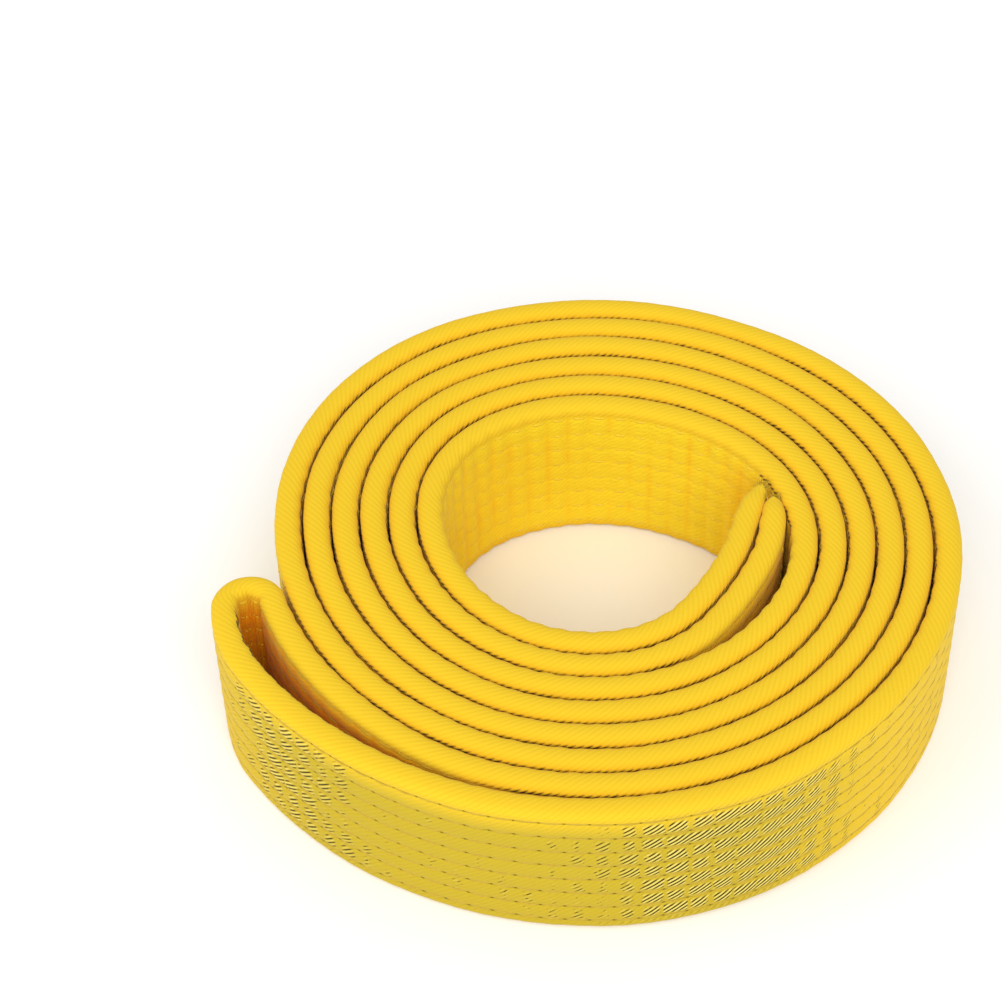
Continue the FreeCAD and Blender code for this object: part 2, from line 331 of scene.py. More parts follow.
# the line of the strap, with both tips leaning towards the next turn
wander = WANDER * smooth_noise(distance, WANDER_WAVE)
wander += OUTER_TIP_LEAN * np.clip(1 - from_outer_tip / TIP_LEAN_LENGTH, 0, 1) ** 3
wander -= INNER_TIP_LEAN * np.clip(1 - from_inner_tip / TIP_LEAN_LENGTH, 0, 1) ** 3
centre_line = place + path_shift + outward * wander[:, None]
travel = np.gradient(centre_line, distance, axis=0)
travel /= np.linalg.norm(travel, axis=1)[:, None]
outward = np.stack([travel[:, 1], -travel[:, 0]], axis=1)

lift = LIFT * smooth_noise(distance, LIFT_WAVE)
swell = 1 + SWELL * smooth_noise(distance, SWELL_WAVE)
row_swell = [
    ROW_SWELL_MEAN + ROW_SWELL * smooth_noise(distance, ROW_SWELL_WAVE) for _ in range(ROW_COUNT + 1)
]
row_shift = np.stack(
    [ROW_WANDER * smooth_noise(distance, ROW_WANDER_WAVE) for _ in range(ROW_COUNT)], axis=1
)

# how far every point lies from mid thickness
channel_index = np.round((height - ROW_HEIGHTS[0]) / ROW_PITCH + 0.5)
channel_index = np.clip(channel_index, 0, ROW_COUNT).astype(int)
swell_there = np.stack([row_swell[i] for i in channel_index], axis=1)
from_edge = smooth_step(edge_distance, EDGE_HEIGHT, PUCKER_FULL)
pucker_weight = PUCKER_AT_EDGE + (1 - PUCKER_AT_EDGE) * from_edge
pucker_weight = pucker_weight * np.minimum(1, half_across * PUCKER_ROUND_EDGE)
puckers = np.where(side > 0, pucker(distance, 1.0)[:, None], pucker(distance, -1.0)[:, None])
puckers = puckers * swell_there * pucker_weight
puckers = puckers + np.where(side < 0, wrinkles(distance, height), 0) * pucker_weight
stretched = smooth_step(side * curvature[:, None], -STRETCH_LIMIT, STRETCH_LIMIT)
pinch = np.where(side > 0, fold_pinch(distance)[:, None], 0)
bulge = BULGE * channel(height) * (BULGE_SQUEEZED + (1 - BULGE_SQUEEZED) * stretched)
half_thickness = (FACE_HALF * swell)[:, None] * (1 - pinch) + bulge
offset = side * (half_thickness * half_across + puckers) * thickness[:, None]

# every stitch row wanders a little up and down, and carries the channels beside it
row_share = np.stack([
    np.interp(height, [0, *ROW_HEIGHTS, BELT_WIDTH], [0, *(np.arange(ROW_COUNT) == row), 0])
    for row in range(ROW_COUNT)
])
level = height * (1 + lift[:, None] * (height / BELT_WIDTH) ** 2) + row_shift @ row_share
narrow = 1 - TIP_NARROWING * (1 - smooth_step(from_end, 0, TIP_NARROWING_LENGTH))
level = BELT_WIDTH / 2 + (level - BELT_WIDTH / 2) * narrow[:, None]

strap_points = np.empty((len(distance), len(ring), 3))
strap_points[..., :2] = centre_line[:, None] + outward[:, None] * offset[..., None]
strap_points[..., 2] = np.maximum(level, 0)

# the cloth's coordinate round the strap
steps_across = np.diff(np.append(side * half_across * FACE_HALF, 0))
steps_up = np.diff(np.append(height, 0))
girth = np.concatenate([[0], np.cumsum(np.hypot(steps_across, steps_up))])
FIRST_ROW_GIRTH = float(girth[np.argmin(np.abs(height - ROW_HEIGHTS[0]))])


def add_mesh(name, points, quads, coordinates=None, smooth=True):
    """A mesh object of quads. coordinates are its UVs in metres, one for each corner of each quad."""
    mesh = bpy.data.meshes.new(name)
    points = np.asarray(points, np.float32).reshape(-1, 3)
    quads = np.asarray(quads, np.int32).reshape(-1, 4)
    mesh.vertices.add(len(points))
    mesh.vertices.foreach_set("co", points.ravel())
    mesh.loops.add(quads.size)
    mesh.loops.foreach_set("vertex_index", quads.ravel())
    mesh.polygons.add(len(quads))
    mesh.polygons.foreach_set("loop_start", np.arange(0, quads.size, 4, dtype=np.int32))
    mesh.polygons.foreach_set("use_smooth", np.full(len(quads), smooth))
    if coordinates is not None:
        layer = mesh.uv_layers.new(name="cloth")
        layer.data.foreach_set("uv", np.asarray(coordinates, np.float32).ravel())
    mesh.update()
    mesh.validate()
    piece = bpy.data.objects.new(name, mesh)
    bpy.context.scene.collection.objects.link(piece)
    return piece


def mark_points(piece, name, values, kind="FLOAT", key="value"):
    """Give every point of a mesh a value, for its material to read."""
    attribute = piece.data.attributes.new(name, kind, "POINT")
    attribute.data.foreach_set(key, np.asarray(values, np.float32).ravel())


def strap_quads():
    """The strap's faces and their UVs. Each end is closed by quads from one side to the other."""
    rings, count = len(distance), len(ring)
    i, j = np.meshgrid(np.arange(rings - 1), np.arange(count), indexing="ij")
    after = (j + 1) % count
    corners = [i * count + j, (i + 1) * count + j, (i + 1) * count + after, i * count + after]
    quads = np.stack(corners, -1).reshape(-1, 4)
    along_cloth = np.stack([distance[i], distance[i + 1], distance[i + 1], distance[i]], -1)
    round_cloth = np.stack([girth[j], girth[j], girth[j + 1], girth[j + 1]], -1)
    coordinates = np.stack([along_cloth, round_cloth], -1).reshape(-1, 4, 2)
    caps, cap_coordinates = [], []
    for ring_index, flip in ((0, False), (rings - 1, True)):
        for j in range(count // 2):
            corners = [j, j + 1, count - j - 1, (count - j) % count]
            if len(set(corners)) < 4:
                continue
            if flip:
                corners.reverse()
            caps.append([ring_index * count + corner for corner in corners])
            cap_coordinates.append([(distance[ring_index], girth[corner]) for corner in corners])
    quads = np.concatenate([quads, np.array(caps)])
    return quads, np.concatenate([coordinates, np.array(cap_coordinates)])


quads, coordinates = strap_quads()
cover = add_mesh("cover", strap_points, quads, coordinates)


# ---- what the cover's material reads ----

# where painted shade darkens the twill's furrows on the outside of the roll, in mm past the fold: from
# where to where it sets in, from where to where it fades again, and how strong it is
FURROW_SHADE_ZONES = (
    (18, 36, 54, 72, 0.45),
    (102, 129, 146, 176, 0.84),
    (222, 250, 280, 305, 0.52),
    (345, 375, 420, 450, 0.46),
)
FURROW_SHADE_MEAN, FURROW_SHADE_NOISE, FURROW_SHADE_WAVE = 0.13, 0.10, 60 * MM
FACE_EDGE, FACE_FULL = 1.8 * MM, 3.4 * MM  # from the edge, where the flat face starts and is whole
CREASE_CLEAR, CREASE_CLOSED = 1.5 * MM, 0.6 * MM
CREASE_END = 3.2 * MM  # how far down from the edge a crease is dark
SHADE_TOP, SHADE_FULL = 0.5 * MM, 9 * MM  # down from the upper edge
HOLLOW_WIDE, HOLLOW_NARROW = 16 * MM, 5 * MM
HOLLOW_BY_TIPS = 0.35  # how much of it the needle face has, near the free ends
# shares of the way across from mid thickness to the face, between which an effect sets in
HOLLOW_ACROSS, SHOULDER_ACROSS = (0.5, 0.95), (0.35, 1.0)
CREASE_ACROSS, RIM_ACROSS = (0.945, 1.0), (0.74, 0.93)
TIPS_FROM_FOLD = 700 * MM  # beyond this the cloth belongs to the free ends
CREASE_SHELTER = 0.22
RIM_OPENS, RIM_OPEN, RIM_SHUTS, RIM_SHUT = 6 * MM, 12 * MM, 95 * MM, 125 * MM  # past the fold
RIM_WIDE, RIM_NARROW = 13 * MM, 9 * MM
OUTSIDE_SHADE_AT_FOLD, OUTSIDE_SHADE_START, OUTSIDE_SHADE_FULL = 0.35, 10 * MM, 50 * MM  # past the fold
OUTSIDE_SHADE_LOSS, OUTSIDE_SHADE_FADES, OUTSIDE_SHADE_FADED = 0.96, 136 * MM, 182 * MM


def furrow_shading(distance):
    total = FURROW_SHADE_MEAN + FURROW_SHADE_NOISE * smooth_noise(distance, FURROW_SHADE_WAVE)
    past_fold = (distance - FOLD_AT) / MM
    for shade_starts, furrow_shaded, shade_fades, shade_gone, strength in FURROW_SHADE_ZONES:
        not_gone = smooth_step(-past_fold, -shade_gone, -shade_fades)
        total += strength * smooth_step(past_fold, shade_starts, furrow_shaded) * not_gone
    return np.clip(total, 0, 1)


def gap_beside(face):
    """Clear distance from one face of the belt to whatever turn of the roll lies beyond it."""
    face_place = centre_line + face * outward * (FACE_HALF + BULGE)
    gaps = np.empty(len(distance))
    for index, point in enumerate(face_place):
        away = centre_line - point
        ahead = face * away @ outward[index] > 0
        length = np.hypot(away[:, 0], away[:, 1])
        length[~ahead | (np.abs(distance - distance[index]) < 2 * FOLD_RADIUS)] = 1
        gaps[index] = length.min() - FACE_HALF - BULGE
    return gaps


past_fold = distance - FOLD_AT
needle_side, bobbin_side = side > 0, side < 0
turned_out = (curvature > 0)[:, None]
furrow_shade_mask = np.where(needle_side, furrow_shading(distance)[:, None] * turned_out, 0)
gap = np.where(needle_side, gap_beside(1.0)[:, None], gap_beside(-1.0)[:, None])
closed = smooth_step(-gap, -CREASE_CLEAR, -CREASE_CLOSED)
flat_face = smooth_step(edge_distance, FACE_EDGE, FACE_FULL)
depth = smooth_step(BELT_WIDTH - height, SHADE_TOP, SHADE_FULL)

# how little light comes in: on the shoulder of a closed crease, and down inside a narrow hollow
hollow = smooth_step(-gap, -HOLLOW_WIDE, -HOLLOW_NARROW) * depth
hollow = hollow * smooth_step(half_across, *HOLLOW_ACROSS)
beside_tips = np.abs(past_fold)[:, None] > TIPS_FROM_FOLD
hollow = hollow * np.where(bobbin_side, 1.0, np.where(beside_tips, HOLLOW_BY_TIPS, 0.0))
shoulder = closed * smooth_step(half_across, *SHOULDER_ACROSS)
shelter = np.maximum(shoulder * CREASE_SHELTER, hollow)

# painted shade: dark creases where two turns meet, and along the rim of the open loop
rim = np.where(bobbin_side, smooth_step(past_fold, RIM_OPENS, RIM_OPEN)[:, None], 0)
rim = rim * smooth_step(-gap, -RIM_WIDE, -RIM_NARROW) * (1 - closed)
rim = rim * (1 - smooth_step(past_fold, RIM_SHUTS, RIM_SHUT))[:, None]
meeting = closed * smooth_step(half_across, *CREASE_ACROSS)
crease = np.maximum(meeting, rim * smooth_step(half_across, *RIM_ACROSS))
crease = crease * (1 - smooth_step(edge_distance, FACE_EDGE, CREASE_END))

# painted shade: the outside of the roll is painted darker and greyer, most of all on the stretch after
# the loop
outside_shade_amount = OUTSIDE_SHADE_AT_FOLD + (1 - OUTSIDE_SHADE_AT_FOLD) * smooth_step(past_fold, OUTSIDE_SHADE_START, OUTSIDE_SHADE_FULL)
outside_shade_amount = outside_shade_amount - OUTSIDE_SHADE_LOSS * smooth_step(past_fold, OUTSIDE_SHADE_FADES, OUTSIDE_SHADE_FADED)
outside_shade = np.where(needle_side, outside_shade_amount[:, None] * turned_out * depth, 0)

# painted light: the face that looks into the open centre is painted the brightest
centre_face_light = np.where(needle_side, (curvature < 0)[:, None], 0) * flat_face

relief = np.ones((len(distance), len(ring), 4))
relief[..., 0] = channel(height)
relief[..., 1] = furrow_shade_mask
relief[..., 2] = flat_face
relief[..., 3] = crease
mark_points(cover, "relief", relief, "FLOAT_COLOR", "color")
for name, values in (("shelter", shelter), ("outside_shade", outside_shade), ("centre_face_light", centre_face_light)):
    mark_points(cover, name, values)


# ---- stitches ----

THREAD_WIDE, THREAD_HIGH = 0.24 * MM, 0.19 * MM  # half the thread's width and height
THREAD_SINK = 0.12 * MM  # how much deeper it lies where the cloth is squeezed
THREAD_SPREAD = 0.05 * MM  # how unevenly the stitches of a row lie
THREAD_ARCH, THREAD_ARCH_POWER, THREAD_DIP = 1.15, 0.6, 0.75  # its rise, in shares of its height
THREAD_END, THREAD_END_POWER = 0.55, 0.5  # how thick it still is where it enters the cloth
THREAD_RINGS, THREAD_SIDES = 7, 6
STITCH_GAP = 0.04  # the share of a stitch's length left free at each end
PUCKER_UNDER_THREAD = 0.8
ROW_END = 12.0 * MM
SEAM_SETBACK = 6.0 * MM
SEAM_STITCH = 3.0 * MM
SEAM_HALF = 16.5 * MM
SEAM_SPREAD = 0.06 * MM


def belt_at(at_distance):
    """Centre line and outward direction of the strap as it was built, at any distance."""
    x, y, out_x, out_y = [
        np.interp(at_distance, distance, values) for values in (*centre_line.T, *outward.T)
    ]
    return np.stack([x, y], axis=-1), np.stack([out_x, out_y], axis=-1)


def surface_offset(at_distance, face):
    """Where the cloth lies in the valley along a stitch row, outwards from mid thickness."""
    pinched = fold_pinch(at_distance) if face > 0 else 0
    half_there = np.interp(at_distance, distance, FACE_HALF * swell * thickness) * (1 - pinched)
    _, _, bend = along(at_distance)
    sunk = THREAD_SINK * (1 - smooth_step(face * bend, -STRETCH_LIMIT, STRETCH_LIMIT))
    return face * (half_there + pucker(at_distance, face) * PUCKER_UNDER_THREAD - sunk)


def circle_of(sides):
    """The angles of the points round one ring."""
    return np.arange(sides) / sides * 2 * np.pi


def thread_shape(face):
    """One stitch, ring by ring: place in the stitch, share along, rise, and the ring's own shape."""
    share = np.linspace(0, 1, THREAD_RINGS)
    arch = np.sin(np.pi * share)
    rise = THREAD_HIGH * (THREAD_ARCH * arch ** THREAD_ARCH_POWER - THREAD_DIP)
    size = THREAD_END + (1 - THREAD_END) * arch ** THREAD_END_POWER
    circle = circle_of(THREAD_SIDES)
    out = face * THREAD_HIGH * size[:, None] * np.cos(circle)
    across = face * THREAD_WIDE * size[:, None] * np.sin(circle)
    return STITCH_GAP + (1 - 2 * STITCH_GAP) * share, share, face * rise, out, across


def tube_quads(tubes, rings, sides):
    """Quads of many closed tubes at once. Each end is closed by quads across its even ring."""
    i, j = np.meshgrid(np.arange(rings - 1), np.arange(sides), indexing="ij")
    after = (j + 1) % sides
    corners = [i * sides + j, i * sides + after, (i + 1) * sides + after, (i + 1) * sides + j]
    wall = np.stack(corners, -1).reshape(-1, 4)
    caps = []
    for ring_index, flip in ((0, True), (rings - 1, False)):
        for k in range(sides // 2 - 1):
            corners = [k, k + 1, sides - 2 - k, sides - 1 - k]
            if flip:
                corners.reverse()
            caps.append([ring_index * sides + corner for corner in corners])
    one = np.concatenate([wall, np.array(caps)])
    shift = np.arange(tubes)[:, None, None] * rings * sides
    return (one[None] + shift).reshape(-1, 4)


def row_stitches(name, row, face, replaced):
    """One row of stitches on one face, as short threads that dip into the cloth at both ends."""
    first = math.ceil(ROW_END / STITCH)
    last = math.floor((BELT_LENGTH - ROW_END) / STITCH)
    starts = np.arange(first, last) * STITCH
    jitter = rng.normal(0, THREAD_SPREAD, len(starts))
    slant = rng.normal(0, THREAD_SPREAD, len(starts))
    reach, share, rise, out, across = thread_shape(face)
    where = starts[:, None] + STITCH * reach
    centre, normal = belt_at(where)
    outwards = (surface_offset(where, face) + rise)[..., None] + out
    up = ROW_HEIGHTS[row] + np.interp(where, distance, row_shift[:, row])
    up = up + jitter[:, None] + slant[:, None] * (share - 0.5)
    points = np.empty((len(starts), THREAD_RINGS, THREAD_SIDES, 3))
    points[..., :2] = centre[:, :, None] + normal[:, :, None] * outwards[..., None]
    points[..., 2] = up[..., None] + across
    threads = add_mesh(name, points, tube_quads(len(starts), THREAD_RINGS, THREAD_SIDES))
    _, _, bend = along(where)
    # painted shade: marks the stitches on the outside of the roll, which the thread material paints
    # darker
    mark_points(threads, "outside", np.repeat((face * bend > 0).ravel(), THREAD_SIDES))
    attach(threads, "root")
    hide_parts(replaced)
    return threads


def seam_stitches(name, at_distance, face, replaced):
    """The stitches of the seam across one end, on one face."""
    count = int(2 * SEAM_HALF / SEAM_STITCH)
    starts = BELT_WIDTH / 2 - SEAM_HALF + np.arange(count) * SEAM_STITCH
    jitter = rng.normal(0, SEAM_SPREAD, count)[:, None, None]
    reach, _, rise, out, across = thread_shape(face)
    up = starts[:, None] + SEAM_STITCH * reach
    crest = np.interp(at_distance, distance, thickness) * BULGE * channel(up)
    outwards = (surface_offset(at_distance, face) + face * crest + rise)[..., None] + out
    sideways, outwards = np.broadcast_arrays(at_distance - across + jitter, outwards)
    centre, normal = belt_at(sideways)
    points = np.empty(outwards.shape + (3,))
    points[..., :2] = centre + normal * outwards[..., None]
    points[..., 2] = up[..., None]
    threads = add_mesh(name, points, tube_quads(count, THREAD_RINGS, THREAD_SIDES))
    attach(threads, "root")
    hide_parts(replaced)
    return threads


FACES = (("needle", 1.0), ("bobbin", -1.0))
stitches = []
for row in range(ROW_COUNT):
    for kind, face in FACES:
        stitches.append(row_stitches(
            f"{kind}_stitches_row_{row + 1}", row, face, f"{kind}_thread_row_{row + 1}"
        ))
for end, at_distance in (("inner_end", SEAM_SETBACK), ("outer_end", BELT_LENGTH - SEAM_SETBACK)):
    for kind, face in FACES:
        stitches.append(seam_stitches(
            f"{end}_seam_{kind}_stitches", at_distance, face, f"{end}_seam_{kind}_thread"
        ))


# ---- loose yarn ends ----

FRAY_COUNT = 90
FRAY_RADIUS = 0.10 * MM
FRAY_RINGS, FRAY_SIDES = 5, 6
FRAY_ROOT = 0.9 * MM  # how deep a yarn starts inside the tip
FRAY_SHORTEST, FRAY_LONGEST = 0.7 * MM, 1.9 * MM
FRAY_BEND = 0.55 * MM
FRAY_TAPER = 0.5
FRAY_SPREAD = 0.85  # as a share of half the tip's thickness
FRAY_ABOVE_FLOOR, FRAY_BELOW_TOP = 1 * MM, 1.2 * MM
TOP_FRAY_HIGH, TOP_FRAY_LOW = 0.6 * MM, 3 * MM  # below the upper edge


def frayed_end(name, station, ahead):
    """Short yarn ends that stand out of the cut tip of the belt, a third of them near the top."""
    share = np.linspace(0, 1, FRAY_RINGS)
    circle = circle_of(FRAY_SIDES)
    heights = rng.uniform(FRAY_ABOVE_FLOOR, BELT_WIDTH - FRAY_BELOW_TOP, FRAY_COUNT)
    near_top = FRAY_COUNT // 3
    heights[:near_top] = BELT_WIDTH - rng.uniform(TOP_FRAY_HIGH, TOP_FRAY_LOW, near_top)
    spread = rng.uniform(-FRAY_SPREAD, FRAY_SPREAD, FRAY_COUNT) * FACE_HALF * TIP_THICKNESS
    reach = rng.uniform(FRAY_SHORTEST, FRAY_LONGEST, FRAY_COUNT)
    bend = rng.normal(0, FRAY_BEND, (FRAY_COUNT, 2))
    forward = -FRAY_ROOT + (reach[:, None] + FRAY_ROOT) * share
    out = spread[:, None] + bend[:, :1] * share ** 2
    up = heights[:, None] + bend[:, 1:] * share ** 2
    radius = FRAY_RADIUS * (1 - FRAY_TAPER * share)[:, None]
    points = np.empty((FRAY_COUNT, FRAY_RINGS, FRAY_SIDES, 3))
    flat = out[..., None] + radius * np.cos(circle)
    points[..., :2] = centre_line[station] + travel[station] * ahead * forward[..., None, None]
    points[..., :2] += outward[station] * flat[..., None]
    points[..., 2] = up[..., None] + ahead * radius * np.sin(circle)
    yarns = add_mesh(name, points, tube_quads(FRAY_COUNT, FRAY_RINGS, FRAY_SIDES))
    # painted shade: every yarn end gets the thread's darker outside tint
    mark_points(yarns, "outside", np.ones(points.size // 3))
    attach(yarns, "root")
    return yarns


frays = [frayed_end("inner_tip_fray", 0, -1.0), frayed_end("outer_tip_fray", len(distance) - 1, 1.0)]

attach(cover, "root")
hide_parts("outer_sleeve")


# ---- stage, light and camera ----

FLOOR_HALF = 3
floor_corners = [(x * FLOOR_HALF, y * FLOOR_HALF, 0) for x, y in ((-1, -1), (1, -1), (1, 1), (-1, 1))]
floor = add_mesh("floor", floor_corners, [(0, 1, 2, 3)], smooth=False)

CAMERA_PLACE = Vector((-0.35, -407.3, 495.6)) * MM
CAMERA_TILT = 49.75
FOCAL_PIXELS = 2816.9
PICTURE = 1002
AIM = (588, 612)  # the pixel that the camera points at

camera_data = bpy.data.cameras.new("camera")
camera_data.sensor_width = 36
camera_data.lens = FOCAL_PIXELS / PICTURE * camera_data.sensor_width
camera_data.shift_x = (PICTURE / 2 - AIM[0]) / PICTURE
camera_data.shift_y = (AIM[1] - PICTURE / 2) / PICTURE
camera_data.clip_start = 0.01
camera = bpy.data.objects.new("camera", camera_data)
camera.location = CAMERA_PLACE
camera.rotation_euler = (math.radians(90 - CAMERA_TILT), 0, 0)
bpy.context.scene.collection.objects.link(camera)
bpy.context.scene.camera = camera

LIGHT_SIZE = 2.2
LIGHT_AIM = Vector((0, 0, 0.02))
WORLD_STRENGTH = 0.68


def add_area_light(name, place, watts):
    data = bpy.data.lights.new(name, "AREA")
    data.shape = "DISK"
    data.size = LIGHT_SIZE
    data.energy = watts
    light = bpy.data.objects.new(name, data)
    light.location = place
    light.rotation_euler = (LIGHT_AIM - Vector(place)).to_track_quat("-Z", "Y").to_euler()
    bpy.context.scene.collection.objects.link(light)


add_area_light("key", (0.25, -2.00, 2.15), 51)
add_area_light("fill", (-2.0, -0.75, 1.75), 16)

world = bpy.data.worlds.new("studio")
world.use_nodes = True
world.node_tree.nodes["Background"].inputs["Color"].default_value = (1, 1, 1, 1)
world.node_tree.nodes["Background"].inputs["Strength"].default_value = WORLD_STRENGTH
bpy.context.scene.world = world
bpy.context.scene.view_settings.view_transform = "Standard"


# ---- materials ----

class Shading:
    """A new material and its node tree, with short ways to add the nodes used here."""

    def __init__(self, name):
        self.material = bpy.data.materials.new(name)
        self.material.use_nodes = True
        self.tree = self.material.node_tree
        self.shader = self.tree.nodes["Principled BSDF"]

    def feed(self, socket, value):
        """Link another node's output to a socket, or set the socket's own value."""
        if isinstance(value, bpy.types.NodeSocket):
            self.tree.links.new(value, socket)
        else:
            socket.default_value = value

    def add(self, kind, inputs, **settings):
        made = self.tree.nodes.new(kind)
        for key, value in settings.items():
            setattr(made, key, value)
        for key, value in inputs.items():
            self.feed(made.inputs[key], value)
        return made

    def maths(self, operation, *values):
        return self.add("ShaderNodeMath", dict(enumerate(values)), operation=operation).outputs[0]

    def product(self, first, *others):
        for other in others:
            first = self.maths("MULTIPLY", first, other)
        return first

    def plus_times(self, base, value, factor):
        """base + value * factor"""
        return self.maths("MULTIPLY_ADD", value, factor, base)

    def ramp(self, value, low, high, to_low=0.0, to_high=1.0):
        limits = {"From Min": low, "From Max": high, "To Min": to_low, "To Max": to_high}
        return self.add("ShaderNodeMapRange", {"Value": value, **limits}).outputs[0]

    def mix(self, factor, first, second, blend="MIX"):
        inputs = {"Factor": factor, "A": first, "B": second}
        made = self.add("ShaderNodeMix", inputs, data_type="RGBA", blend_type=blend)
        return made.outputs["Result"]

    def tint(self, factor, colour, by):
        return self.mix(factor, colour, by, "MULTIPLY")

    def noise(self, vector, scale, detail=2.0, distortion=0.0):
        inputs = {"Vector": vector, "Scale": scale, "Detail": detail, "Distortion": distortion}
        return self.add("ShaderNodeTexNoise", inputs).outputs[0]

    def mark(self, name):
        """A value that was given to the mesh's points."""
        return self.add("ShaderNodeAttribute", {}, attribute_name=name).outputs["Fac"]

    def bump(self, height, strength, distance):
        made = self.add("ShaderNodeBump", {"Height": height, "Strength": strength, "Distance": distance})
        self.feed(self.shader.inputs["Normal"], made.outputs[0])

    def surface(self, **inputs):
        for key, value in inputs.items():
            self.feed(self.shader.inputs[key.replace("_", " ")], value)


TWILL_PITCH = 1.0 * MM
TWILL_ANGLE = 38.5
SHADED_FURROW_YELLOW, WALE_YELLOW = (0.765, 0.48, 0.015, 1), (0.81, 0.545, 0.021, 1)
PATCH_TINT = (0.95, 0.90, 0.80, 1)
CENTRE_LIGHT_TINT = (1.12, 1.30, 1.15, 1)
PUCKER_SHADE_TINT = (1.0, 0.80, 0.5, 1)
SHELTER_TINT = (1.08, 0.66, 0.12, 1)
OUTSIDE_SHADE_TINT = (0.67, 0.74, 1.05, 1)
GLINT_YELLOW = (0.92, 0.80, 0.24, 1)
FURROW_SHADE_COLOUR = (0.016, 0.013, 0.006, 1)
ROW_VALLEY_SHADE = (0.34, 0.23, 0.012, 1)
NEEDLE_HOLE_SHADE = (0.08, 0.05, 0.01, 1)
CREASE_SHADE = (0.034, 0.014, 0.004, 1)
SHEEN_TINT = (1.0, 0.86, 0.40, 1)

# noise scales, in one over metres of cloth, and how strong what they make is
WALE_BEND_SCALE, WALE_BEND = 60.0, 9.0
GRAIN_SCALE, GRAIN_AMOUNT = 2600.0, 0.45
RIPPLE_SCALE, RIPPLE_LENGTHENING = 1000.0, (0.25, 1.0, 1.0)
RIPPLE_STRETCHED, RIPPLE_SQUEEZED = 1.1, 2.6
PATCH_SCALE, PATCH_AMOUNT = 28.0, 0.5
PUCKER_SCALE = 90.0
CREASE_SCALE, CREASE_NOISE, CREASE_WALES = 130.0, -0.7, -0.45
WALES_SQUEEZED, WALES_AT_EDGE = 0.30, 0.55  # height of the wales there; 1 on the stretched face
WEAVE_BUMP, WEAVE_BUMP_HEIGHT = 0.55, 0.13 * MM

# what the painted furrow shade of a field is summed from, and the sum at which it starts and is whole
FURROW_SHADE_BETWEEN_HOLES, FURROW_SHADE_BY_FIELD = 0.60, 0.45
FURROW_SHADE_NOISES = ((300.0, 3.0, 0.7), (1100.0, 1.0, 0.7))  # scale, detail and amount
FURROW_SHADE_STARTS, FURROW_SHADE_WHOLE = 1.80, 1.98
VALLEY_STRETCHED, VALLEY_SQUEEZED = 0.82, 0.08  # how strongly the stitch rows' lines show
VALLEY_UNSHADED = 0.40


def twill_wales(shade, cloth, along_cloth, round_cloth):
    """The diagonal wales, 0 to 1, bent a little so that no line is dead straight."""
    turn = 2 * math.pi / TWILL_PITCH
    angle = math.radians(TWILL_ANGLE)
    phase = shade.product(along_cloth, turn * math.sin(angle))
    phase = shade.plus_times(phase, round_cloth, -turn * math.cos(angle))
    phase = shade.plus_times(phase, shade.noise(cloth, WALE_BEND_SCALE), WALE_BEND)
    return shade.maths("MULTIPLY_ADD", shade.maths("SINE", phase), 0.5, 0.5)


def twill_height(shade, cloth, wale, face, squeezed):
    """Height of the weave from wales and uneven yarns, and the same with the ripples added.

    The ripples run along the belt on its quilted faces, and are strongest where they are squeezed.
    """
    wale_height = shade.product(
        wale,
        shade.ramp(squeezed, 0.0, 1.0, 1.0, WALES_SQUEEZED),
        shade.ramp(face, 0.0, 1.0, WALES_AT_EDGE, 1.0),
    )
    height = shade.plus_times(wale_height, shade.noise(cloth, GRAIN_SCALE), GRAIN_AMOUNT)
    mapping = {"Vector": cloth, "Scale": RIPPLE_LENGTHENING}
    drawn_out = shade.add("ShaderNodeMapping", mapping).outputs[0]
    ripple = shade.product(
        shade.noise(drawn_out, RIPPLE_SCALE),
        face,
        shade.ramp(squeezed, 0.0, 1.0, RIPPLE_STRETCHED, RIPPLE_SQUEEZED),
    )
    return height, shade.maths("ADD", ripple, height)


def field_value(shade, along_cloth, round_cloth):
    """A random value for each field between four needle holes."""
    column = shade.maths("FLOOR", shade.maths("DIVIDE", along_cloth, STITCH))
    rows_up = shade.maths("SUBTRACT", round_cloth, FIRST_ROW_GIRTH)
    row = shade.maths("FLOOR", shade.maths("DIVIDE", rows_up, ROW_PITCH))
    field = shade.add("ShaderNodeCombineXYZ", {0: column, 1: row}).outputs[0]
    made = shade.add("ShaderNodeTexWhiteNoise", {"Vector": field}, noise_dimensions="2D")
    return made.outputs["Value"]


